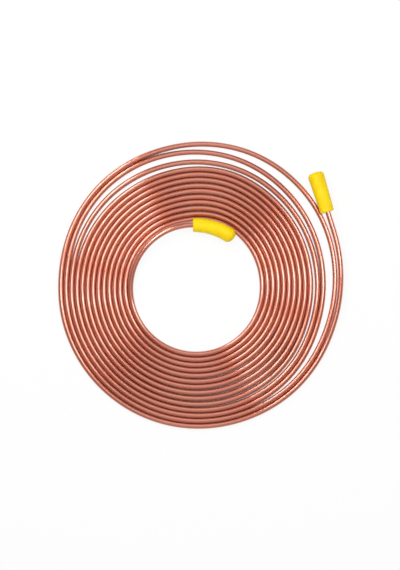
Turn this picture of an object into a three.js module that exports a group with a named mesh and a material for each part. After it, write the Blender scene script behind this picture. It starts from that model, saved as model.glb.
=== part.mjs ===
// Flat spiral coil of 3/16 in soft copper tube with a loose yellow vinyl cap over each end.
// Millimetres, +Z up. The coil lies flat on Z = 0 with its outline centred on the Z axis.

import * as THREE from "three";
import { mergeVertices } from "three/addons/utils/BufferGeometryUtils.js";

// ---- Driving dimensions ----------------------------------------------------------------

// Tube stock
const TUBE_DIAMETER = 4.7625; // 3/16 in outside
const TUBE_WALL = 0.711; // 0.028 in
const TURN_CLEARANCE = 0.03; // air left between two turns that lie side by side

// Winding. A station is the angle wound so far, in degrees, counterclockwise from +X.
const TURN = 360;
const CORE_RADIUS = 54.8; // centreline radius that the plain spiral has at station 0
const BORE_SHIFT = 6.05; // the bore sits off the coil's middle by this much ...
const BORE_SHIFT_ANGLE = 219; // ... towards this angle

// Loose stretches: a turn stands off the one inside it between two stations of the inner one
const INNER_CAP_ROOM = { opens: -10, widest: 68, closes: 108, width: 2.05 };
const LOWER_SLACK = { opens: 198, widest: 306, closes: 348, width: 0.55 };
const LOWER_SLACK_TURNS = [4, 6, 7, 8];
const UPPER_SLACK = { opens: 40, widest: 92, closes: 130, width: 0.37 };
const UPPER_SLACK_TURNS = [2, 3, 5, 7];
const OPEN_GAPS = [
  { opens: 9 * TURN + 210, widest: 10 * TURN + 30, closes: 10 * TURN + 150, width: 1.45 },
  { opens: 10 * TURN + 70, widest: 10 * TURN + 128, closes: 10 * TURN + 185, width: 2.4 },
  { opens: 10 * TURN + 336, widest: 11 * TURN + 111, closes: 11 * TURN + 184, width: 4.2 },
  { opens: 11 * TURN + 278, widest: 12 * TURN + 34, closes: 12 * TURN + 126, width: 7.2 },
];

// Outer end: springs away from the coil, runs out straight and climbs into its cap
const OUTER_SPRING_START = 14 * TURN - 5;
const OUTER_SPRING = 0.0012; // mm of radius for each degree squared
const RUN_OUT = 14 * TURN + 21.5; // station where the tube leaves the spiral, straight
const OUTER_RISE_START = 13 * TURN + 310;
const OUTER_RISE_END = 14 * TURN + 18;

// Inner end: opens out a little and climbs over the turn beside it into its cap
const INNER_SPRING_START = 100;
const INNER_SPRING = 0.0003; // mm of radius for each degree squared
const INNER_RISE_START = 205;
const INNER_RISE_END = 103;

// Vinyl caps: a wide blind bore, and a body that is a little narrower at its mouth
const CAP_BORE_DIAMETER = 7.6;
const CAP_END_WALL = 3.2;
const CAP_LIP_ROUND = 0.9; // radius of the mouth's edge
const SEAT_GAP = 0.3; // air where the tube lies in a bore, and a cap on a turn
const TUBE_END_PLAY = 0.8; // air between the tube's cut end and the bottom of the bore
const OUTER_CAP = { mouthDiameter: 12.5, endDiameter: 14.6, length: 37, endRound: 3.6 };
const OUTER_CAP_DISTANCE = 18.2; // from the run-out to the mouth, along the tube
const OUTER_CAP_HANG = 122; // direction of the cap's axis from the tube's, looking along it
const INNER_CAP = { mouthDiameter: 12.5, endDiameter: 13.5, length: 40.2, endRound: 6 };
const INNER_CAP_MOUTH = 97.2; // station of the mouth
const INNER_CAP_HANG = -90; // it hangs straight down on the tube

// Facets
const STEPS_PER_TURN = 28; // a multiple of 4, so that corners lie on the X and Y directions
const TUBE_SIDES = 8;
const BORE_SIDES = 6;
const CAP_SIDES = 24;
const INNER_CAP_RINGS = 7; // lengthwise steps that carry the bend
const OUTER_CAP_RINGS = 2;
const DOME_STEPS = 4;
const LIP_STEPS = 2;

// ---- The tube's centreline -------------------------------------------------------------

const RADIAN = Math.PI / 180;
const UP = new THREE.Vector3(0, 0, 1);
const STEP = TURN / STEPS_PER_TURN;
const PITCH = TUBE_DIAMETER + TURN_CLEARANCE;
const TUBE_RADIUS = TUBE_DIAMETER / 2;
const TUBE_CORNER_RADIUS = TUBE_RADIUS / Math.cos(Math.PI / TUBE_SIDES);

const smoothstep = (x) => THREE.MathUtils.smoothstep(x, 0, 1);

/** A loose stretch, the given number of turns further out. */
function stretchAtTurn({ opens, widest, closes, width }, turn) {
  const wound = turn * TURN;
  return { opens: opens + wound, widest: widest + wound, closes: closes + wound, width };
}

const LOOSE_STRETCHES = [
  INNER_CAP_ROOM,
  ...LOWER_SLACK_TURNS.map((turn) => stretchAtTurn(LOWER_SLACK, turn)),
  ...UPPER_SLACK_TURNS.map((turn) => stretchAtTurn(UPPER_SLACK, turn)),
  ...OPEN_GAPS,
];

/** Width of one loose stretch at a station: zero, up to its width, and back to zero. */
function looseWidth({ opens, widest, closes, width }, station) {
  const opening = (station - opens) / (widest - opens);
  const closing = (closes - station) / (closes - widest);
  return width * smoothstep(Math.min(opening, closing));
}

/** Every turn outside a loose stretch is pushed out by it, at the same angle. */
function loosenessBelow(station) {
  let sum = 0;
  for (const stretch of LOOSE_STRETCHES) {
    for (let inner = station - TURN; inner > stretch.opens; inner -= TURN) {
      sum += looseWidth(stretch, inner);
    }
  }
  return sum;
}

/** Centreline radius of the spiral at a station. */
function spiralRadius(station) {
  const wound = (PITCH * station) / TURN;
  const shift = BORE_SHIFT * Math.cos((station - BORE_SHIFT_ANGLE) * RADIAN);
  const sprung =
    INNER_SPRING * Math.max(0, INNER_SPRING_START - station) ** 2 +
    OUTER_SPRING * Math.max(0, station - OUTER_SPRING_START) ** 2;
  return CORE_RADIUS + wound + shift + loosenessBelow(station) + sprung;
}

/** Outer radius of a cap's body at a distance from its mouth. */
function capRadius({ mouthDiameter, endDiameter, length, endRound }, along) {
  const share = (along - CAP_LIP_ROUND) / (length - endRound - CAP_LIP_ROUND);
  return THREE.MathUtils.lerp(mouthDiameter, endDiameter, THREE.MathUtils.clamp(share, 0, 1)) / 2;
}

/** How far a cap's axis lies from the tube's: the tube touches the bore on one side. */
const CAP_BORE_FLAT = (CAP_BORE_DIAMETER / 2) * Math.cos(Math.PI / CAP_SIDES);
const CAP_PLAY = CAP_BORE_FLAT - TUBE_CORNER_RADIUS - SEAT_GAP;

/** Radius that the inner cap is bent to: the spiral's, at the cap's mouth. */
const INNER_CAP_BEND = spiralRadius(INNER_CAP_MOUTH);

/** Height of the inner cap's axis, which leans on the turn beside it. */
function innerCapHeight() {
  let highest = 0;
  for (let along = 0; along <= INNER_CAP.length - INNER_CAP.endRound; along += 1) {
    const station = INNER_CAP_MOUTH - along / INNER_CAP_BEND / RADIAN;
    const across = spiralRadius(station + TURN) - spiralRadius(station);
    const reach = capRadius(INNER_CAP, along) + TUBE_CORNER_RADIUS + SEAT_GAP;
    highest = Math.max(highest, Math.sqrt(Math.max(0, reach ** 2 - across ** 2)));
  }
  return TUBE_RADIUS + highest;
}

/** Height of the tube's centreline inside a cap. */
const tubeHeightIn = (capHeight, hang) => capHeight - CAP_PLAY * Math.sin(hang * RADIAN);

const INNER_END_HEIGHT = tubeHeightIn(innerCapHeight(), INNER_CAP_HANG);
const OUTER_END_HEIGHT = tubeHeightIn(OUTER_CAP.endDiameter / 2, OUTER_CAP_HANG);

/** Centreline height at a station: on the floor, and up into a cap at either end. */
function centreHeight(station) {
  const climbIn = (INNER_RISE_START - station) / (INNER_RISE_START - INNER_RISE_END);
  const climbOut = (station - OUTER_RISE_START) / (OUTER_RISE_END - OUTER_RISE_START);
  const riseIn = (INNER_END_HEIGHT - TUBE_RADIUS) * smoothstep(climbIn);
  const riseOut = (OUTER_END_HEIGHT - TUBE_RADIUS) * smoothstep(climbOut);
  return TUBE_RADIUS + riseIn + riseOut;
}

/** Centreline point on the spiral. */
function spiralPoint(station) {
  const radius = spiralRadius(station);
  const angle = station * RADIAN;
  return new THREE.Vector3(radius * Math.cos(angle), radius * Math.sin(angle), centreHeight(station));
}

const RUN_OUT_POINT = spiralPoint(RUN_OUT);
const RUN_OUT_DIRECTION = spiralPoint(RUN_OUT + 0.01).sub(RUN_OUT_POINT).normalize();
const RUN_OUT_RADIUS = spiralRadius(RUN_OUT);

/** Centreline point anywhere on the tube: the spiral, then the straight run-out. */
function centrePoint(station) {
  if (station <= RUN_OUT) return spiralPoint(station);
  const distance = (station - RUN_OUT) * RADIAN * RUN_OUT_RADIUS;
  return RUN_OUT_POINT.clone().addScaledVector(RUN_OUT_DIRECTION, distance);
}

/** Station that lies a distance along the straight run-out. */
const runOutStation = (distance) => RUN_OUT + distance / RUN_OUT_RADIUS / RADIAN;

/** How far the tube reaches into a cap. */
const seatDepth = (cap) => cap.length - CAP_END_WALL - TUBE_END_PLAY;

const OUTER_CAP_MOUTH = runOutStation(OUTER_CAP_DISTANCE);
const TUBE_START = INNER_CAP_MOUTH - seatDepth(INNER_CAP) / INNER_CAP_BEND / RADIAN;
const TUBE_END = runOutStation(OUTER_CAP_DISTANCE + seatDepth(OUTER_CAP));

/** Stations of the tube's cross-sections: its two ends, and every whole step between them. */
function sectionStations() {
  const first = Math.ceil(TUBE_START / STEP);
  const last = Math.floor(TUBE_END / STEP);
  const between = Array.from({ length: last - first + 1 }, (_, i) => (first + i) * STEP);
  return [TUBE_START, ...between, TUBE_END];
}

// ---- Pieces ----------------------------------------------------------------------------

/** The tube's centreline as a curve that steps through the section stations, so turns nest. */
class CoilCentreline extends THREE.Curve {
  stations = sectionStations();

  getPoint(t, target = new THREE.Vector3()) {
    return target.copy(centrePoint(THREE.MathUtils.lerp(TUBE_START, TUBE_END, t)));
  }

  getUtoTmapping(u) {
    const station = this.stations[Math.round(u * (this.stations.length - 1))];
    return THREE.MathUtils.inverseLerp(TUBE_START, TUBE_END, station);
  }

  /** Level frames: the section never rolls, so the same flat of it faces down all along. */
  computeFrenetFrames(segments) {
    const frames = { tangents: [], normals: [], binormals: [] };
    for (let i = 0; i <= segments; i++) {
      const tangent = this.getTangentAt(i / segments);
      const side = new THREE.Vector3().crossVectors(tangent, UP).normalize();
      frames.tangents.push(tangent);
      frames.binormals.push(side);
      frames.normals.push(new THREE.Vector3().crossVectors(side, tangent));
    }
    return frames;
  }
}

/** Regular polygon with the given distance across its flats and one flat facing down. */
function polygonAcrossFlats(sides, across) {
  const radius = across / 2 / Math.cos(Math.PI / sides);
  return Array.from({ length: sides }, (_, i) => {
    const corner = ((2 * i + 1) * Math.PI) / sides;
    return new THREE.Vector2(radius * Math.cos(corner), radius * Math.sin(corner));
  });
}

/** The whole tube as one hollow sweep along the centreline. */
function tubeGeometry() {
  const section = new THREE.Shape(polygonAcrossFlats(TUBE_SIDES, TUBE_DIAMETER));
  const bore = polygonAcrossFlats(BORE_SIDES, TUBE_DIAMETER - 2 * TUBE_WALL);
  section.holes.push(new THREE.Path(bore));
  const centreline = new CoilCentreline();
  return new THREE.ExtrudeGeometry(section, {
    extrudePath: centreline,
    steps: centreline.stations.length - 1,
  });
}

/** Points of a quarter circle that rounds an edge of a turned piece, counterclockwise. */
function quarterRound(outerRadius, centreAlong, round, startAngle, steps) {
  const centre = new THREE.Vector2(outerRadius - round, centreAlong);
  return Array.from({ length: steps + 1 }, (_, i) => {
    const angle = startAngle + ((Math.PI / 2) * i) / steps;
    return new THREE.Vector2(Math.cos(angle), Math.sin(angle)).multiplyScalar(round).add(centre);
  });
}

/** Half section of a cap: blind bore, rounded mouth, tapered side and domed closed end. */
function capProfile(cap, boreRadius, rings) {
  const boreDepth = cap.length - CAP_END_WALL;
  const domeStart = cap.length - cap.endRound;
  const points = [new THREE.Vector2(0, boreDepth)];
  for (let i = 0; i <= rings; i++) {
    points.push(new THREE.Vector2(boreRadius, boreDepth * (1 - i / rings)));
  }
  points.push(
    ...quarterRound(cap.mouthDiameter / 2, CAP_LIP_ROUND, CAP_LIP_ROUND, -Math.PI / 2, LIP_STEPS),
  );
  for (let i = 1; i < rings; i++) {
    const along = THREE.MathUtils.lerp(CAP_LIP_ROUND, domeStart, i / rings);
    points.push(new THREE.Vector2(capRadius(cap, along), along));
  }
  points.push(...quarterRound(cap.endDiameter / 2, domeStart, cap.endRound, 0, DOME_STEPS));
  if (cap.endRound < cap.endDiameter / 2) points.push(new THREE.Vector2(0, cap.length));
  return points;
}

/** Turns a closed half section about its axis and joins the seam. */
function turned(profile) {
  const lathe = new THREE.LatheGeometry(profile, CAP_SIDES);
  lathe.deleteAttribute("normal");
  lathe.deleteAttribute("uv");
  return mergeVertices(lathe, 1e-4);
}

/** Lays a turned cap along the tube, off the tube's axis by its play in the hang direction. */
function layAlongTube(geometry, mouth, stationPerMm, hang) {
  const position = geometry.attributes.position;
  const aside = CAP_PLAY * Math.cos(hang * RADIAN);
  const above = CAP_PLAY * Math.sin(hang * RADIAN);
  for (let i = 0; i < position.count; i++) {
    const station = mouth + position.getY(i) * stationPerMm;
    const centre = centrePoint(station);
    const tangent = centrePoint(station + stationPerMm).sub(centre).setZ(0).normalize();
    const side = new THREE.Vector3().crossVectors(tangent, UP);
    centre.addScaledVector(side, aside + position.getX(i));
    centre.addScaledVector(UP, above + position.getZ(i));
    position.setXYZ(i, centre.x, centre.y, centre.z);
  }
  return geometry;
}

/** Inner cap, bent with the turn that it covers. */
function innerCapGeometry() {
  const sagOfChord = INNER_CAP_BEND * (1 - Math.cos((STEP / 2) * RADIAN));
  const profile = capProfile(INNER_CAP, CAP_BORE_DIAMETER / 2 + sagOfChord, INNER_CAP_RINGS);
  const stationPerMm = -1 / (INNER_CAP_BEND * RADIAN);
  return layAlongTube(turned(profile), INNER_CAP_MOUTH, stationPerMm, INNER_CAP_HANG);
}

/** Outer cap, straight along the run-out. */
function outerCapGeometry() {
  const profile = capProfile(OUTER_CAP, CAP_BORE_DIAMETER / 2, OUTER_CAP_RINGS);
  const stationPerMm = 1 / (RUN_OUT_RADIUS * RADIAN);
  return layAlongTube(turned(profile), OUTER_CAP_MOUTH, stationPerMm, OUTER_CAP_HANG);
}

// ---- Scene graph -----------------------------------------------------------------------

const copper = new THREE.MeshStandardMaterial({ color: 0xb56a4c, roughness: 0.28, metalness: 1 });
const vinyl = new THREE.MeshStandardMaterial({ color: 0xf4dc08, roughness: 0.4, metalness: 0 });

function namedMesh(name, geometry, material) {
  const mesh = new THREE.Mesh(geometry, material);
  mesh.name = name;
  return mesh;
}

const coil = new THREE.Group();
coil.add(
  namedMesh("copper_tube", tubeGeometry(), copper),
  namedMesh("inner_end_cap", innerCapGeometry(), vinyl.clone()),
  namedMesh("outer_end_cap", outerCapGeometry(), vinyl.clone()),
);

// Centre the outline on the Z axis and set the lowest point on the floor.
const bounds = new THREE.Box3().setFromObject(coil);
const middle = bounds.getCenter(new THREE.Vector3());
for (const mesh of coil.children) mesh.position.set(-middle.x, -middle.y, -bounds.min.z);

export default coil;
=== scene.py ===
"""The dressed copper tube coil: fine tube, vinyl end caps, their finishes and a plain studio.

The coil lies flat on Z = 0. Sizes of the coil are in millimetres, as on its drawing, and
become metres once, where a mesh is made. Sizes of the studio are in metres. A station is the
angle wound so far along the tube, in degrees, counterclockwise from +X seen from above.
"""
import logging
import math
from dataclasses import dataclass, replace
from enum import Enum, IntEnum

import bpy
import numpy as np
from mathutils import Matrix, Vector
from numpy.typing import NDArray


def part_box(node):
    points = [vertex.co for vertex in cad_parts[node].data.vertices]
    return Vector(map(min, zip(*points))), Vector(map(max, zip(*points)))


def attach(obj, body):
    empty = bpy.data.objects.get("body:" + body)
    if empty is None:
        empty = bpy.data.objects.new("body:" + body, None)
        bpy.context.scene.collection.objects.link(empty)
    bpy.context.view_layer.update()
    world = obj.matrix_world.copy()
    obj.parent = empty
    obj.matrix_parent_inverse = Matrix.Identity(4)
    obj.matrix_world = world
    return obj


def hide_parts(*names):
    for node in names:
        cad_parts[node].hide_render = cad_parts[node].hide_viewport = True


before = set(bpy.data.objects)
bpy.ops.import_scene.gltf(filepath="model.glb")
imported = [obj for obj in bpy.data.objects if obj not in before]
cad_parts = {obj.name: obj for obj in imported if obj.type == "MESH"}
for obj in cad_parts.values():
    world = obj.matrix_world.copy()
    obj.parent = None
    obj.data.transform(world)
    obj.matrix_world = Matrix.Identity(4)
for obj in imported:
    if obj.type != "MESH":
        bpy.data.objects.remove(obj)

Array = NDArray[np.float64]
Indices = NDArray[np.int64]
Pair = tuple[float, float]
Triple = tuple[float, float, float]
Colour = tuple[float, float, float, float]

LOG = logging.getLogger("copper_coil")
METRES_PER_MM = 0.001
TURN = 360.0
UP = np.array([0.0, 0.0, 1.0])
WHITE = (1.0, 1.0, 1.0, 1.0)
UNIT_RANGE = (0.0, 1.0)
RIDE_BODY = "root"
STRAIGHT = "straight_tube"  # attribute: where a point lay before the piece was bent, in metres
BAKE_MAP = "OFBake"  # UV map that fills the unit square once
STRIP_MARGIN = 0.04  # share of a strip's width in the bake map left free on each side
STRIP_END = 0.002  # share of a strip's length left free at each end
TANGENT_STEP = 0.01  # degrees over which the run-out's direction is taken
SLOPE_STEP = 0.05  # degrees to each side over which the centreline's slope is taken
OUTLINE_TURNS = 1.2  # last turns that make up the coil's outline
OUTLINE_POINTS = 4001
LENGTH_POINTS = 20001


class TubeEnd(Enum):
    """The two ends of the tube."""

    INNER = "inner"
    OUTER = "outer"


# ---- Surface tools ----------------------------------------------------------------------


def smoothstep(share: Array) -> Array:
    """Eases a share from 0 to 1: 3 x squared less 2 x cubed, held at 0 and 1 outside.

    Args:
        share: Any values.

    Returns:
        The eased values.
    """
    held = np.clip(share, 0.0, 1.0)
    return held * held * (3.0 - 2.0 * held)


def unit(vectors: Array) -> Array:
    """Scales each vector to length 1.

    Args:
        vectors: One vector a row.

    Returns:
        The same directions with length 1.
    """
    return vectors / np.linalg.norm(vectors, axis=-1, keepdims=True)


def paired(first: Array | float, second: Array | float) -> Array:
    """Joins two coordinates, each an array or one value for all, along a new last axis."""
    return np.stack(np.broadcast_arrays(first, second), axis=-1)


def ring_quads(rings: int, columns: int, closed: bool) -> Indices:
    """Quads between neighbouring rings of points, where each ring closes on itself.

    Args:
        rings: Number of rings.
        columns: Points in each ring.
        closed: Whether the last ring joins the first.

    Returns:
        Four point indices a face, shaped (bands, columns, 4).
    """
    here = np.arange(rings if closed else rings - 1)[:, None]
    beyond = (here + 1) % rings
    column = np.arange(columns)[None, :]
    after = (column + 1) % columns
    corner_points = (
        here * columns + column, here * columns + after,
        beyond * columns + after, beyond * columns + column,
    )
    return np.stack(np.broadcast_arrays(*corner_points), axis=-1)


def strip_layout(bands: int, columns: int, strips: int, low: float, high: float) -> Array:
    """Lays bands of quads out as parallel strips that fill a part of the unit square.

    A band's place along its strip is its number within the strip over the strip's bands, and
    its columns run across the strip. A narrow margin parts each strip from the next.

    Args:
        bands: Number of bands of quads.
        columns: Quads in each band.
        strips: Number of strips that the bands are cut into.
        low: Where the first strip starts across the square.
        high: Where the last strip ends across the square.

    Returns:
        UV places of the quads' corners, shaped (bands, columns, 4, 2).
    """
    per_strip = math.ceil(bands / strips)
    band = np.arange(bands)[:, None, None]
    column = np.arange(columns)[None, :, None]
    corner_band = np.array([0, 0, 1, 1])
    corner_column = np.array([0, 1, 1, 0])
    along = (band % per_strip + corner_band) / per_strip
    across = STRIP_MARGIN + (1.0 - 2.0 * STRIP_MARGIN) * (column + corner_column) / columns
    height = low + (high - low) * (band // per_strip + across) / strips
    return paired(STRIP_END + (1.0 - 2.0 * STRIP_END) * along, height)


def new_piece(
    name: str, points: Array, faces: list[Indices], layout: Array, straight: Array
) -> bpy.types.Object:
    """Makes a smooth-shaded mesh piece at the origin, with its bake map and its attribute.

    Args:
        name: The piece's name.
        points: Points in millimetres, one a row.
        faces: Arrays of point indices, one face a row, in the order of layout.
        layout: UV places of all face corners in turn.
        straight: Each point's place on the straight piece, in millimetres.

    Returns:
        The piece, linked to the scene.
    """
    mesh = bpy.data.meshes.new(name)
    rows = [row for block in faces for row in block.tolist()]
    mesh.from_pydata((points * METRES_PER_MM).tolist(), [], rows)
    bake_map = mesh.uv_layers.new(name=BAKE_MAP)
    bake_map.uv.foreach_set("vector", layout.astype(np.float32).ravel())
    attribute = mesh.attributes.new(STRAIGHT, "FLOAT_VECTOR", "POINT")
    attribute.data.foreach_set("vector", (straight * METRES_PER_MM).astype(np.float32).ravel())
    mesh.polygons.foreach_set("use_smooth", np.ones(len(mesh.polygons), dtype=bool))
    mesh.update()
    piece = bpy.data.objects.new(name, mesh)
    bpy.context.scene.collection.objects.link(piece)
    return piece


# ---- The tube and its winding -----------------------------------------------------------


@dataclass(frozen=True)
class LooseStretch:
    """Stations of a turn between which the next turn out stands off it, by up to a width."""

    opens: float
    widest: float
    closes: float
    width: float

    def turns_out(self, turns: int) -> "LooseStretch":
        """The same stretch, that many turns further out."""
        on = turns * TURN
        return LooseStretch(self.opens + on, self.widest + on, self.closes + on, self.width)

    def gap(self, stations: Array) -> Array:
        """Gap outside the turn: eased from nothing up to the width and back to nothing.

        Args:
            stations: Stations of the inner turn.

        Returns:
            The gap at each station, in millimetres.
        """
        opening = (stations - self.opens) / (self.widest - self.opens)
        closing = (self.closes - stations) / (self.closes - self.widest)
        return self.width * smoothstep(np.minimum(opening, closing))


INNER_CAP_ROOM = LooseStretch(opens=-10, widest=68, closes=108, width=2.05)
LOWER_SLACK = LooseStretch(opens=198, widest=306, closes=348, width=0.55)
LOWER_SLACK_TURNS = (4, 6, 7, 8)
UPPER_SLACK = LooseStretch(opens=40, widest=92, closes=130, width=0.37)
UPPER_SLACK_TURNS = (2, 3, 5, 7)
OPEN_GAPS = (
    LooseStretch(opens=210, widest=390, closes=510, width=1.45).turns_out(9),
    LooseStretch(opens=70, widest=128, closes=185, width=2.4).turns_out(10),
    LooseStretch(opens=-24, widest=111, closes=184, width=4.2).turns_out(11),
    LooseStretch(opens=-82, widest=34, closes=126, width=7.2).turns_out(12),
)
LOOSE_STRETCHES = (
    INNER_CAP_ROOM,
    *(LOWER_SLACK.turns_out(turn) for turn in LOWER_SLACK_TURNS),
    *(UPPER_SLACK.turns_out(turn) for turn in UPPER_SLACK_TURNS),
    *OPEN_GAPS,
)


@dataclass(frozen=True)
class TubeStock:
    """The drawn copper tube that the coil is wound from: 3/16 in outside, 0.028 in wall."""

    diameter: float = 4.7625
    wall: float = 0.711
    cut_edge: float = 0.12  # bevel that the tube cutter leaves on the rims

    @property
    def radius(self) -> float:
        """Outer radius."""
        return self.diameter / 2

    @property
    def bore_radius(self) -> float:
        """Inner radius."""
        return self.radius - self.wall


@dataclass(frozen=True)
class CapPattern:
    """Sizes of one moulded vinyl cap, and how it hangs on its end of the tube."""

    mouth_diameter: float
    end_diameter: float
    length: float
    end_round: float  # radius of the edge round the closed end
    end_crown: float  # how far the closed end bulges
    hang: float  # degrees: where the cap's axis lies from the tube's, looking along it
    axis_height: float = 0.0  # read from the frame
    bore_diameter: float = 7.6
    bottom_round: float = 0.6  # of the bore's bottom, as a share of the bore's radius
    end_wall: float = 3.2
    lip_round: float = 0.9
    play: float = 0.89  # distance between the cap's axis and the tube's
    end_gap: float = 0.8  # air beyond the tube's cut end

    @property
    def seat_depth(self) -> float:
        """How far the tube reaches into the cap."""
        return self.length - self.end_wall - self.end_gap

    @property
    def tube_height(self) -> float:
        """Height of the tube's centreline inside the cap."""
        return self.axis_height - self.play * math.sin(math.radians(self.hang))

    def at_node(self, node: str) -> "CapPattern":
        """The same cap with its axis at the middle height of a node of the frame."""
        low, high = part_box(node)
        return replace(self, axis_height=(low.z + high.z) / 2 / METRES_PER_MM)


INNER_CAP = CapPattern(
    mouth_diameter=12.5, end_diameter=13.5, length=40.2, end_round=6.0, end_crown=0.15, hang=-90.0
)
OUTER_CAP = CapPattern(
    mouth_diameter=12.5, end_diameter=14.6, length=37.0, end_round=3.6, end_crown=0.45, hang=122.0
)


@dataclass(frozen=True)
class Winding:
    """The flat spiral that the tube lies in, from one cap to the other. Every start and end
    is a station."""

    stock: TubeStock
    inner_cap: CapPattern
    outer_cap: CapPattern
    turn_clearance: float = 0.03
    core_radius: float = 54.8  # radius of the plain spiral at station 0
    bore_shift: float = 6.05  # how far the bore lies off the middle ...
    bore_shift_angle: float = 219.0  # ... and towards which angle
    outer_spring_start: float = 14 * TURN - 5
    outer_spring: float = 0.0012  # millimetres of radius for each degree squared
    run_out: float = 14 * TURN + 21.5  # from here the tube is straight
    outer_rise_start: float = 13 * TURN + 310
    outer_rise_end: float = 14 * TURN + 18
    inner_spring_start: float = 100.0
    inner_spring: float = 0.0003  # millimetres of radius for each degree squared
    inner_rise_start: float = 205.0
    inner_rise_end: float = 103.0
    inner_cap_mouth: float = 97.2  # a station too
    outer_cap_distance: float = 18.2  # from the run-out to the mouth
    pole: Pair = (0.0, 0.0)  # where the spiral's pole lies in the frame
    fit: float = 1.0  # scale about the pole that keeps the fine outline in the frame's box

    @property
    def pitch(self) -> float:
        """Distance between two turns that lie side by side."""
        return self.stock.diameter + self.turn_clearance

    def looseness(self, stations: Array) -> Array:
        """Sum of the gaps of all turns further in, at the same angle.

        Args:
            stations: Stations along the tube.

        Returns:
            How far each station is pushed out, in millimetres.
        """
        pushed = np.zeros_like(stations)
        for stretch in LOOSE_STRETCHES:
            for turns in range(1, math.ceil(stations.max() / TURN) + 1):
                inner = stations - turns * TURN
                pushed += np.where(inner > stretch.opens, stretch.gap(inner), 0.0)
        return pushed

    def radius(self, stations: Array) -> Array:
        """Radius of the centreline: an even spiral, plus a cosine that shifts the bore, plus
        the loose stretches, plus a square law where each end springs open.

        Args:
            stations: Stations along the tube.

        Returns:
            Distance from the pole, in millimetres.
        """
        even = self.core_radius + self.pitch * stations / TURN
        shift = self.bore_shift * np.cos(np.radians(stations - self.bore_shift_angle))
        inner = self.inner_spring * np.maximum(0.0, self.inner_spring_start - stations) ** 2
        outer = self.outer_spring * np.maximum(0.0, stations - self.outer_spring_start) ** 2
        return even + shift + self.looseness(stations) + inner + outer

    def height(self, stations: Array) -> Array:
        """Height of the centreline: the tube's radius, eased up to each cap.

        Args:
            stations: Stations along the tube.

        Returns:
            Height over the floor, in millimetres.
        """
        inner_climb = self.inner_rise_start - self.inner_rise_end
        outer_climb = self.outer_rise_end - self.outer_rise_start
        climb_in = (self.inner_rise_start - stations) / inner_climb
        climb_out = (stations - self.outer_rise_start) / outer_climb
        floor = self.stock.radius
        return (
            floor
            + (self.inner_cap.tube_height - floor) * smoothstep(climb_in)
            + (self.outer_cap.tube_height - floor) * smoothstep(climb_out)
        )

    def spiral_point(self, stations: Array) -> Array:
        """Points of the spiral: the pole plus the radius towards each station's angle.

        Args:
            stations: Stations along the tube.

        Returns:
            Points in millimetres, one a row.
        """
        radius = self.fit * self.radius(stations)
        angle = np.radians(stations)
        x = self.pole[0] + radius * np.cos(angle)
        y = self.pole[1] + radius * np.sin(angle)
        return np.stack([x, y, self.height(stations)], axis=-1)

    @property
    def run_out_radius(self) -> float:
        """Distance of the run-out's start from the pole."""
        return float(self.radius(np.array([self.run_out]))[0])

    def centre(self, stations: Array) -> Array:
        """Centreline: the spiral up to the run-out, then a straight line along its tangent.

        Args:
            stations: Stations along the tube.

        Returns:
            Points in millimetres, one a row.
        """
        spiral = self.spiral_point(np.minimum(stations, self.run_out))
        start, after = self.spiral_point(np.array([self.run_out, self.run_out + TANGENT_STEP]))
        beyond = np.maximum(stations - self.run_out, 0.0)
        distance = np.radians(beyond) * self.run_out_radius
        return spiral + distance[:, None] * unit(after - start)

    def frames(self, stations: Array) -> tuple[Array, Array, Array, Array]:
        """Level frames along the tube, from the slope of the centreline.

        Args:
            stations: Stations along the tube.

        Returns:
            Centres, and unit vectors along the tube, to its right and up from it.
        """
        along = unit(self.centre(stations + SLOPE_STEP) - self.centre(stations - SLOPE_STEP))
        side = unit(np.cross(along, UP))
        return self.centre(stations), along, side, np.cross(side, along)

    @property
    def inner_bend(self) -> float:
        """Radius that the inner cap is bent to."""
        return float(self.radius(np.array([self.inner_cap_mouth]))[0])

    @property
    def start(self) -> float:
        """Station of the cut end inside the inner cap."""
        return self.inner_cap_mouth - math.degrees(self.inner_cap.seat_depth / self.inner_bend)

    @property
    def outer_cap_mouth(self) -> float:
        """Station of the outer cap's mouth."""
        return self.run_out + math.degrees(self.outer_cap_distance / self.run_out_radius)

    @property
    def end(self) -> float:
        """Station of the cut end inside the outer cap."""
        reach = self.outer_cap_distance + self.outer_cap.seat_depth
        return self.run_out + math.degrees(reach / self.run_out_radius)

    def outline(self) -> tuple[Array, Array]:
        """Measures the wound tube from above, by its last turns and both flanks.

        Returns:
            Its lowest and its highest corner.
        """
        stations = np.linspace(self.end - OUTLINE_TURNS * TURN, self.end, OUTLINE_POINTS)
        centre, _, side, _ = self.frames(stations)
        reach = self.stock.radius * side
        rims = np.concatenate([centre + reach, centre - reach])
        return rims[:, :2].min(axis=0), rims[:, :2].max(axis=0)

    def fitted_to(self, node: str) -> "Winding":
        """The same winding, scaled by a hair and centred so that it fills a node's box.

        Args:
            node: The frame's node for the tube.

        Returns:
            The placed winding.
        """
        corners = np.array(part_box(node))[:, :2] / METRES_PER_MM
        low, high = self.outline()
        fit = float(((corners[1] - corners[0]) / (high - low)).min())
        middle = corners.mean(axis=0) - fit * (low + high) / 2
        return replace(self, pole=(float(middle[0]), float(middle[1])), fit=fit)


# ---- Pieces -----------------------------------------------------------------------------


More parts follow.
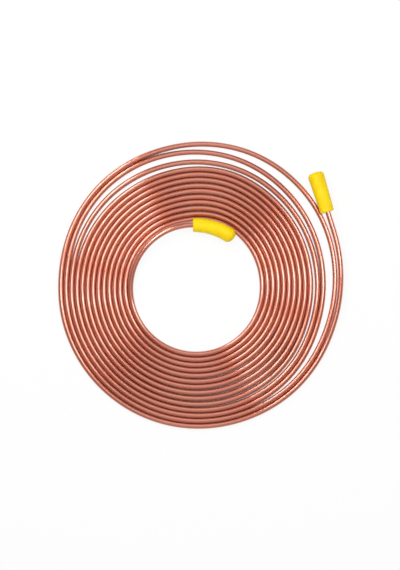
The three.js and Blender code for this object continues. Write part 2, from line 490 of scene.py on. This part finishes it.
@dataclass(frozen=True)
class CopperTube:
    """The wound tube: one closed skin over the outside, both cut rims and the bore."""

    winding: Winding
    outer_steps: int = 140  # rings in a turn of the outside
    bore_steps: int = 60
    sides: int = 28
    outer_strips: int = 22  # strips of the bake map
    bore_strips: int = 6
    bore_share: float = 0.1  # part of the bake map that the bore gets

    def rings(self) -> tuple[Array, Array, int]:
        """Stations and radii of the rings: out along the outside, and back along the bore.

        Returns:
            Stations, radii, and the number of rings on the outside.
        """
        wind, stock = self.winding, self.winding.stock
        turns = (wind.end - wind.start) / TURN
        first = wind.start + math.degrees(stock.cut_edge / wind.inner_bend)
        last = wind.end - math.degrees(stock.cut_edge / wind.run_out_radius)
        outside = np.linspace(first, last, round(turns * self.outer_steps))
        inside = np.linspace(last, first, round(turns * self.bore_steps))
        stations = np.concatenate([
            [wind.start], outside, [wind.end, wind.end], inside, [wind.start],
        ])
        rim = stock.radius - stock.cut_edge
        bore_rim = stock.bore_radius + stock.cut_edge
        radii = np.concatenate([
            [rim], np.full(len(outside), stock.radius), [rim, bore_rim],
            np.full(len(inside), stock.bore_radius), [bore_rim],
        ])
        return stations, radii, len(outside) + 2

    def lengths(self, stations: Array) -> Array:
        """Length along the centreline: the running sum of short chords.

        Args:
            stations: Stations along the tube.

        Returns:
            Millimetres from the inner cut end.
        """
        fine = np.linspace(self.winding.start, self.winding.end, LENGTH_POINTS)
        chords = np.linalg.norm(np.diff(self.winding.centre(fine), axis=0), axis=1)
        return np.interp(stations, fine, np.concatenate([[0.0], np.cumsum(chords)]))

    def build(self) -> bpy.types.Object:
        """Sweeps a circle along the winding: centre plus radius times the cosine to the side
        and the sine upwards.

        Returns:
            The tube as a mesh piece.
        """
        stations, radii, outside = self.rings()
        centre, _, side, up = self.winding.frames(stations)
        angle = np.linspace(0.0, 2.0 * np.pi, self.sides, endpoint=False)
        across = radii[:, None] * np.cos(angle)
        above = radii[:, None] * np.sin(angle)
        aside = across[..., None] * side[:, None]
        lift = above[..., None] * up[:, None]
        points = (centre[:, None] + aside + lift).reshape(-1, 3)
        along = np.broadcast_to(self.lengths(stations)[:, None], across.shape)
        straight = np.stack([along, across, above], axis=-1).reshape(-1, 3)
        quads = ring_quads(len(stations), self.sides, closed=True).reshape(-1, 4)
        bore_bands = len(stations) - outside
        layout = np.concatenate([
            strip_layout(outside, self.sides, self.outer_strips, self.bore_share, 1.0),
            strip_layout(bore_bands, self.sides, self.bore_strips, 0.0, self.bore_share),
        ])
        return new_piece("copper_tube_fine", points, [quads], layout, straight)


@dataclass(frozen=True)
class EndCap:
    """A moulded vinyl cap on one end of the tube: turned, then laid along the tube."""

    winding: Winding
    end: TubeEnd
    sides: int = 72
    bore_rings: int = 28
    lip_steps: int = 10
    body_rings: int = 40
    round_steps: int = 14
    crown_steps: int = 8

    @property
    def pattern(self) -> CapPattern:
        """The cap's own sizes."""
        return self.winding.inner_cap if self.end is TubeEnd.INNER else self.winding.outer_cap

    def half_section(self) -> Array:
        """The closed half section, from the bottom of the bore out to the crown.

        The bore is straight, with a rounded bottom. The lip is a half circle, the body tapers
        evenly, and a quarter circle leads over to a crown that falls with the radius squared.

        Returns:
            Distances from the axis and from the mouth, one pair a row, both ends on the axis.
        """
        cap = self.pattern
        bore = cap.bore_diameter / 2
        depth = cap.length - cap.end_wall
        bottom_round = bore * cap.bottom_round
        turn_in = np.linspace(0.0, np.pi / 2, self.crown_steps)
        bottom = paired(
            bore - bottom_round + bottom_round * np.sin(turn_in),
            depth - bottom_round + bottom_round * np.cos(turn_in),
        )
        bore_along = np.linspace(depth - bottom_round, cap.lip_round, self.bore_rings)[1:]
        wall = paired(bore, bore_along)
        mouth = cap.mouth_diameter / 2
        lip_angle = np.linspace(np.pi, 2 * np.pi, self.lip_steps)[1:-1]
        lip = paired(
            (bore + mouth) / 2 + (mouth - bore) / 2 * np.cos(lip_angle),
            cap.lip_round + cap.lip_round * np.sin(lip_angle),
        )
        shoulder = cap.length - cap.end_crown - cap.end_round
        body_along = np.linspace(cap.lip_round, shoulder, self.body_rings)
        share = (body_along - cap.lip_round) / (shoulder - cap.lip_round)
        body = paired(mouth + (cap.end_diameter / 2 - mouth) * share, body_along)
        turn_over = np.linspace(0.0, np.pi / 2, self.round_steps)[1:]
        flat = cap.end_diameter / 2 - cap.end_round
        rounded = paired(
            flat + cap.end_round * np.cos(turn_over),
            shoulder + cap.end_round * np.sin(turn_over),
        )
        crown_radius = np.linspace(flat, 0.0, self.crown_steps)[1:]
        crown = paired(crown_radius, cap.length - cap.end_crown * (crown_radius / flat) ** 2)
        return np.concatenate([[[0.0, depth]], bottom, wall, lip, body, rounded, crown])

    def laid(self, across: Array, above: Array, along: Array) -> Array:
        """Carries points of the straight cap to its place along the tube.

        Args:
            across: Distance to the right of the cap's axis.
            above: Distance over the cap's axis.
            along: Distance from the mouth towards the closed end.

        Returns:
            Points in millimetres, one a row.
        """
        wind = self.winding
        if self.end is TubeEnd.INNER:
            mouth, degrees_per_mm = wind.inner_cap_mouth, -math.degrees(1 / wind.inner_bend)
        else:
            mouth, degrees_per_mm = wind.outer_cap_mouth, math.degrees(1 / wind.run_out_radius)
        stations = mouth + along * degrees_per_mm
        centre = wind.centre(stations)
        ahead = wind.centre(stations + degrees_per_mm) - centre
        ahead[:, 2] = 0.0
        side = np.cross(unit(ahead), UP)
        hang = math.radians(self.pattern.hang)
        aside = self.pattern.play * math.cos(hang) + across
        lift = self.pattern.play * math.sin(hang) + above
        return centre + aside[:, None] * side + lift[:, None] * UP

    def build(self) -> bpy.types.Object:
        """Turns the half section about its axis, and lays it along the tube.

        Returns:
            The cap as a mesh piece.
        """
        section = self.half_section()
        rings = section[1:-1]
        angle = np.linspace(0.0, 2.0 * np.pi, self.sides, endpoint=False)
        across = np.append((rings[:, :1] * np.cos(angle)).ravel(), [0.0, 0.0])
        above = np.append((rings[:, :1] * np.sin(angle)).ravel(), [0.0, 0.0])
        along = np.append(np.repeat(rings[:, 1], self.sides), [section[0, 1], section[-1, 1]])
        points = self.laid(across, above, along)
        straight = np.stack([along, across, above], axis=-1)
        quads = ring_quads(len(rings), self.sides, closed=False)
        column = np.arange(self.sides)
        after = (column + 1) % self.sides
        last = (len(rings) - 1) * self.sides
        bottom_pole, crown_pole = len(points) - 2, len(points) - 1
        bottom = np.stack([np.full(self.sides, bottom_pole), after, column], axis=-1)
        crown = np.stack([last + column, last + after, np.full(self.sides, crown_pole)], axis=-1)
        if self.end is TubeEnd.INNER:
            quads, bottom, crown = quads[..., ::-1], bottom[:, ::-1], crown[:, ::-1]
        layout = self.bake_layout(section, inward=self.end is TubeEnd.INNER)
        faces = [quads.reshape(-1, 4), bottom, crown]
        return new_piece(f"{self.end.value}_end_cap_fine", points, faces, layout, straight)

    def bake_layout(self, section: Array, inward: bool) -> Array:
        """Unrolls the cap: the length along the section one way, the angle the other.

        Args:
            section: The half section.
            inward: Whether the faces run the other way round.

        Returns:
            UV places of all face corners in turn.
        """
        chords = np.linalg.norm(np.diff(section, axis=0), axis=1)
        run = np.concatenate([[0.0], np.cumsum(chords)]) / chords.sum()
        column = np.arange(self.sides) / self.sides
        after = column + 1.0 / self.sides
        low, high = run[1:-2, None], run[2:-1, None]
        quads = np.stack([
            paired(low, column), paired(low, after), paired(high, after), paired(high, column),
        ], axis=2)
        middle = (column + after) / 2
        first, last = run[1], run[-2]
        bottom = np.stack([
            paired(0.0, middle), paired(first, after), paired(first, column),
        ], axis=1)
        crown = np.stack([
            paired(last, column), paired(last, after), paired(1.0, middle),
        ], axis=1)
        if inward:
            quads, bottom, crown = quads[:, :, ::-1], bottom[:, ::-1], crown[:, ::-1]
        return np.concatenate([quads.reshape(-1, 2), bottom.reshape(-1, 2), crown.reshape(-1, 2)])


# ---- Finishes ---------------------------------------------------------------------------


class MixSocket(IntEnum):
    """Sockets of a Mix node that mixes colours: three inputs, and the number of its output."""

    SHARE = 0
    LOW = 6
    HIGH = 7
    RESULT = 2


@dataclass(frozen=True)
class Grain:
    """A noise pattern on the straight piece."""

    per_metre: Triple  # features in a metre along, across and upwards
    detail: float


class NodeSheet:
    """The shader nodes of a material or of the world, written one node a line."""

    def __init__(self, owner: bpy.types.Material | bpy.types.World) -> None:
        """Starts with no nodes.

        Args:
            owner: What the nodes belong to.
        """
        self.owner = owner
        owner.use_nodes = True
        self.tree = owner.node_tree
        self.tree.nodes.clear()

    def add(self, kind: str, inputs: dict | None = None, **settings: object) -> bpy.types.Node:
        """Adds a node.

        Args:
            kind: The node's type, without its ShaderNode prefix.
            inputs: For each input, by name or number, a plain value or a socket to link.
            **settings: Properties of the node.

        Returns:
            The node.
        """
        node = self.tree.nodes.new("ShaderNode" + kind)
        for name, value in settings.items():
            setattr(node, name, value)
        for key, value in (inputs or {}).items():
            if isinstance(value, bpy.types.NodeSocket):
                self.tree.links.new(value, node.inputs[key])
            else:
                node.inputs[key].default_value = value
        return node

    def worked(self, operation: str, *values: bpy.types.NodeSocket | float) -> bpy.types.NodeSocket:
        """Works out one number from others, by the Math operation of that name."""
        return self.add("Math", dict(enumerate(values)), operation=operation).outputs[0]

    def straight(self, scale: Triple) -> bpy.types.NodeSocket:
        """Places on the straight piece, scaled along, across and upwards."""
        place = self.add("Attribute", attribute_name=STRAIGHT).outputs["Vector"]
        return self.add("Mapping", {"Vector": place, "Scale": scale}).outputs["Vector"]

    def noise(self, grain: Grain) -> bpy.types.NodeSocket:
        """Noise of that grain, from 0 to 1."""
        inputs = {"Vector": self.straight(grain.per_metre), "Scale": 1.0, "Detail": grain.detail}
        return self.add("TexNoise", inputs).outputs["Fac"]

    def spread(
        self, value: bpy.types.NodeSocket, source: Pair, target: Pair = UNIT_RANGE
    ) -> bpy.types.NodeSocket:
        """Carries a range of values to another range, and holds what lies outside it.

        Args:
            value: The values.
            source: Where the range starts and ends.
            target: What its start and its end become.

        Returns:
            The carried values.
        """
        inputs = {
            "Value": value, "From Min": source[0], "From Max": source[1],
            "To Min": target[0], "To Max": target[1],
        }
        return self.add("MapRange", inputs).outputs["Result"]

    def mixed(
        self, share: bpy.types.NodeSocket, low: bpy.types.NodeSocket | Colour, high: Colour
    ) -> bpy.types.NodeSocket:
        """Mixes two colours: the low one at a share of 0, the high one at 1.

        Args:
            share: The share of the high colour.
            low: One colour.
            high: The other.

        Returns:
            The mixed colour.
        """
        inputs = {MixSocket.SHARE: share, MixSocket.LOW: low, MixSocket.HIGH: high}
        return self.add("Mix", inputs, data_type="RGBA").outputs[MixSocket.RESULT]

    def finish(self, shader: bpy.types.Node) -> bpy.types.Material:
        """Shows a shader on the surface, and returns the material."""
        self.add("OutputMaterial", {"Surface": shader.outputs[0]})
        return self.owner


@dataclass(frozen=True)
class DrawnCopper:
    """Bright drawn copper under a clear film: draw lines along the tube, a light tarnish and
    dull handling marks, and painted shade that makes the flanks darker and browner where turns lie
    together."""

    fresh: Colour = (0.78, 0.192, 0.086, 1.0)
    tarnished: Colour = (0.73, 0.163, 0.071, 1.0)
    flank_shade: Colour = (0.58, 0.17, 0.082, 1.0)  # painted shade: the darker, browner colour of the flanks, where turns lie together
    flank_shade_from: Pair = (0.0015, 0.0022)  # metres to the side of the tube's middle, where the painted flank shade starts and where it is full
    draw_lines: Grain = Grain((12.0, 2600.0, 2600.0), 3.0)
    hairlines: Grain = Grain((45.0, 9000.0, 9000.0), 2.0)
    tarnish: Grain = Grain((9.0, 160.0, 160.0), 4.0)
    tarnish_from: Pair = (0.35, 0.7)  # noise, from fresh to tarnished
    marks: Grain = Grain((70.0, 260.0, 260.0), 3.0)
    marks_from: Pair = (0.56, 0.68)  # noise, from clean to a full mark
    mark_share: float = 0.5  # what a full mark counts beside full tarnish
    most_dulled: float = 1.5  # full tarnish with a full mark on it
    score_share: float = 0.6  # what the lines count beside tarnish, in the roughness
    wear: Pair = (0.3, 2.0)  # from the smoothest metal to the roughest
    roughness: Pair = (0.26, 0.34)
    line_depth: float = 0.000003  # metres
    line_strength: float = 0.6
    stretch: float = 0.5  # how far the draw lines stretch a highlight
    stretch_turn: float = 0.25  # of a whole turn, from the surface's tangent
    film: float = 1.0  # how much of the metal the clear film covers
    film_roughness: float = 0.04
    film_ior: float = 2.4

    def material(self) -> bpy.types.Material:
        """Builds the copper.

        Returns:
            The material.
        """
        sheet = NodeSheet(bpy.data.materials.new("drawn_copper"))
        lines = sheet.noise(self.draw_lines)
        hairs = sheet.noise(self.hairlines)
        tarnish = sheet.spread(sheet.noise(self.tarnish), self.tarnish_from)
        marks = sheet.spread(sheet.noise(self.marks), self.marks_from)
        scored = sheet.worked("ADD", lines, hairs)
        dulled = sheet.worked("MULTIPLY_ADD", marks, self.mark_share, tarnish)
        aged = sheet.mixed(
            sheet.spread(dulled, (0.0, self.most_dulled)), self.fresh, self.tarnished
        )
        # painted shade: the colour darkens towards each flank, where the neighbouring turns lie
        place = sheet.add("SeparateXYZ", {"Vector": sheet.straight((1.0, 1.0, 1.0))})
        aside = sheet.worked("ABSOLUTE", place.outputs["Y"])
        colour = sheet.mixed(sheet.spread(aside, self.flank_shade_from), aged, self.flank_shade)
        wear = sheet.worked("MULTIPLY_ADD", scored, self.score_share, dulled)
        bump = sheet.add("Bump", {
            "Height": lines, "Distance": self.line_depth, "Strength": self.line_strength,
        })
        shader = sheet.add("BsdfPrincipled", {
            "Base Color": colour, "Metallic": 1.0,
            "Roughness": sheet.spread(wear, self.wear, self.roughness),
            "Anisotropic": self.stretch, "Anisotropic Rotation": self.stretch_turn,
            "Coat Weight": self.film, "Coat Roughness": self.film_roughness,
            "Coat IOR": self.film_ior, "Normal": bump.outputs[0],
        })
        return sheet.finish(shader)


@dataclass(frozen=True)
class YellowVinyl:
    """Dip-moulded yellow vinyl: semi-gloss, a little see-through, with a faint orange peel."""

    name: str
    colour: Colour = (0.94, 0.72, 0.003, 1.0)
    deep_colour: Colour = (0.92, 0.62, 0.002, 1.0)
    cloud: Grain = Grain((70.0, 120.0, 120.0), 3.0)
    cloud_from: Pair = (0.3, 0.7)  # noise, from the colour to the deep colour
    peel: Grain = Grain((900.0, 900.0, 900.0), 2.0)
    peel_depth: float = 0.00002  # metres
    peel_strength: float = 0.5
    roughness: float = 0.4
    ior: float = 1.52
    gloss: float = 0.2  # level of its highlights
    depth_share: float = 0.15  # of the light, that goes in and comes out beside
    light_reach: Triple = (0.004, 0.003, 0.0005)  # metres, for red, green and blue

    def material(self) -> bpy.types.Material:
        """Builds the vinyl.

        Returns:
            The material.
        """
        sheet = NodeSheet(bpy.data.materials.new(self.name))
        cloud = sheet.spread(sheet.noise(self.cloud), self.cloud_from)
        bump = sheet.add("Bump", {
            "Height": sheet.noise(self.peel), "Distance": self.peel_depth,
            "Strength": self.peel_strength,
        })
        shader = sheet.add("BsdfPrincipled", {
            "Base Color": sheet.mixed(cloud, self.colour, self.deep_colour),
            "Roughness": self.roughness, "IOR": self.ior, "Specular IOR Level": self.gloss,
            "Subsurface Weight": self.depth_share, "Subsurface Radius": self.light_reach,
            "Normal": bump.outputs[0],
        })
        return sheet.finish(shader)


# ---- Studio -----------------------------------------------------------------------------


@dataclass(frozen=True)
class Softbox:
    """A flat soft lamp that hangs level and shines straight down."""

    name: str
    place: Triple
    size: Pair
    radiance: float
    turned: float = 0.0  # degrees about its own axis
    in_gloss: bool = True  # whether polished metal mirrors the lamp

    def hang_up(self) -> None:
        """Makes the lamp: its power is the radiance times pi times the area."""
        lamp = bpy.data.lights.new(self.name, "AREA")
        lamp.shape = "RECTANGLE"
        lamp.size, lamp.size_y = self.size
        lamp.energy = self.radiance * math.pi * self.size[0] * self.size[1]
        holder = bpy.data.objects.new(self.name, lamp)
        bpy.context.scene.collection.objects.link(holder)
        holder.location = self.place
        holder.rotation_euler = (0.0, 0.0, math.radians(self.turned))
        holder.visible_camera = False
        holder.visible_glossy = self.in_gloss


@dataclass(frozen=True)
class Studio:
    """A white floor, soft lamps and a camera straight above the coil."""

    frame_height: float = 0.5073  # of the picture, at the coil
    camera_height: float = 2.5
    camera_place: Pair = (-0.00058, 0.00018)  # over the floor, so that the coil is framed
    camera_reach: float = 100.0
    sensor: float = 36.0  # millimetres
    floor_reach: float = 12.0
    floor_colour: Colour = (0.9, 0.9, 0.9, 1.0)
    floor_glow: float = 0.86  # part of the floor's white that a shadow can't darken
    # painted shade: the dark floor colour in the narrow slits between turns
    painted_slit_shade: Colour = (0.06, 0.02, 0.012, 1.0)
    painted_copper_bounce: Colour = (0.72, 0.36, 0.25, 1.0)  # painted bounce light: the copper colour that the floor glows with in narrow gaps beside the turns
    slit_reach: float = 0.006  # a slit between turns is judged by what stands this near
    slit_rays: int = 32  # and by this many looks around
    slit_openness: Pair = (0.10, 0.16)  # from a slit in painted shade, where the floor doesn't glow, to an open gap
    clear_openness: Pair = (0.12, 0.19)  # from a gap with painted copper bounce light and painted slit shade to a white one
    room_level: float = 0.32  # light from the room, away from the horizon
    horizon_rise: float = 0.16  # height over the horizon, as a sine, where the white sweep ends
    softboxes: tuple[Softbox, ...] = (
        Softbox("left_strip", (-0.48, 0.57, 0.80), (0.14, 0.94), 11.5, turned=8.0),
        Softbox("inner_left_strip", (-0.20, 0.00, 0.80), (0.13, 0.07), 6.0),
        Softbox("inner_right_strip", (0.21, 0.00, 0.80), (0.17, 0.07), 7.5),
        Softbox("right_strip", (0.43, 0.18, 0.80), (0.20, 0.34), 6.5, turned=-20.0),
        Softbox("back_panel", (0.10, 0.80, 0.90), (0.60, 1.60), 0.64),
        Softbox("front_panel", (0.0, -0.75, 0.90), (0.80, 1.75), 0.29),
        Softbox("ceiling", (0.0, 0.0, 1.6), (1.6, 1.6), 1.2, in_gloss=False),
    )

    def floor_paint(self) -> bpy.types.Material:
        """Builds the floor's white: it glows to the camera, to gloss and through clear things, and
        is plain matt paint to all other light. In the slits between turns it has painted shade
        instead: a dark paint and no glow.

        Returns:
            The material.
        """
        sheet = NodeSheet(bpy.data.materials.new("studio_white"))
        ray = sheet.add("LightPath").outputs
        mirrored = sheet.worked("MAXIMUM", ray["Is Glossy Ray"], ray["Is Transmission Ray"])
        seen = sheet.worked("MAXIMUM", ray["Is Camera Ray"], mirrored)
        reach = {"Distance": self.slit_reach}
        openness = sheet.add("AmbientOcclusion", reach, samples=self.slit_rays).outputs["AO"]
        # painted shade: where little is open nearby, in the slits, the floor stops glowing
        glowing = sheet.spread(openness, self.slit_openness, (0.0, self.floor_glow))
        clear = sheet.spread(openness, self.clear_openness)
        # painted shade and painted copper bounce light: dark paint in slits, copper-tinted glow in
        # narrow gaps
        paint = sheet.add("BsdfDiffuse", {
            "Color": sheet.mixed(clear, self.painted_slit_shade, self.floor_colour),
        })
        glow = sheet.add("Emission", {"Color": sheet.mixed(clear, self.painted_copper_bounce, WHITE)})
        share = sheet.worked("MULTIPLY", seen, glowing)
        return sheet.finish(
            sheet.add("MixShader", {0: share, 1: paint.outputs[0], 2: glow.outputs[0]})
        )

    def floor(self) -> None:
        """Makes the floor, a square at Z = 0."""
        reach = self.floor_reach
        square = [
            (-reach, -reach, 0.0), (reach, -reach, 0.0), (reach, reach, 0.0), (-reach, reach, 0.0),
        ]
        mesh = bpy.data.meshes.new("studio_floor")
        mesh.from_pydata(square, [], [(0, 1, 2, 3)])
        floor = bpy.data.objects.new("studio_floor", mesh)
        bpy.context.scene.collection.objects.link(floor)
        mesh.materials.append(self.floor_paint())

    def world(self) -> None:
        """Lights the room evenly over a white horizon, and shows it white to the camera."""
        world = bpy.data.worlds.new("studio_room")
        bpy.context.scene.world = world
        sheet = NodeSheet(world)
        direction = sheet.add("TexCoord").outputs["Generated"]
        room = sheet.add("MapRange", {
            "Value": sheet.add("SeparateXYZ", {"Vector": direction}).outputs["Z"],
            "From Max": self.horizon_rise, "To Min": 1.0, "To Max": self.room_level,
        }, interpolation_type="SMOOTHSTEP")
        level = sheet.add("MapRange", {
            "Value": sheet.add("LightPath").outputs["Is Camera Ray"],
            "To Min": room.outputs["Result"], "To Max": 1.0,
        })
        background = sheet.add("Background", {"Strength": level.outputs["Result"]})
        sheet.add("OutputWorld", {"Surface": background.outputs[0]})

    def camera(self) -> None:
        """Hangs the camera over the coil, with a long lens, looking straight down."""
        lens = bpy.data.cameras.new("overhead_camera")
        lens.sensor_width = self.sensor
        lens.lens = self.sensor * self.camera_height / self.frame_height
        lens.clip_end = self.camera_reach
        camera = bpy.data.objects.new("overhead_camera", lens)
        bpy.context.scene.collection.objects.link(camera)
        camera.location = (*self.camera_place, self.camera_height)
        bpy.context.scene.camera = camera

    def set_up(self) -> None:
        """Builds the whole studio."""
        self.floor()
        self.world()
        for softbox in self.softboxes:
            softbox.hang_up()
        self.camera()
        bpy.context.scene.view_settings.view_transform = "Standard"


# ---- Assembly ---------------------------------------------------------------------------


def dress(piece: bpy.types.Object, node: str, material: bpy.types.Material) -> None:
    """Gives a piece its finish, and sets it in place of its node.

    Args:
        piece: The fine piece.
        node: The node of the frame that it stands for.
        material: Its finish.
    """
    piece.data.materials.append(material)
    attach(piece, RIDE_BODY)
    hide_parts(node)
    LOG.info("%s stands for %s: %d faces", piece.name, node, len(piece.data.polygons))


def corners(box: tuple[Vector, Vector]) -> list[list[float]]:
    """A box as plain lists of numbers."""
    return [list(corner) for corner in box]


def main() -> None:
    """Builds the studio, the tube and the caps in order."""
    logging.basicConfig(level=logging.INFO, format="%(name)s: %(message)s")
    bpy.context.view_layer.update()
    Studio().set_up()
    inner = INNER_CAP.at_node("inner_end_cap")
    outer = OUTER_CAP.at_node("outer_end_cap")
    winding = Winding(TubeStock(), inner, outer).fitted_to("copper_tube")
    dress(CopperTube(winding).build(), "copper_tube", DrawnCopper().material())
    for end in TubeEnd:
        slot = f"{end.value}_cap_vinyl"
        cap = EndCap(winding, end).build()
        dress(cap, f"{end.value}_end_cap", YellowVinyl(slot).material())


if __name__ == "__main__":
    main()
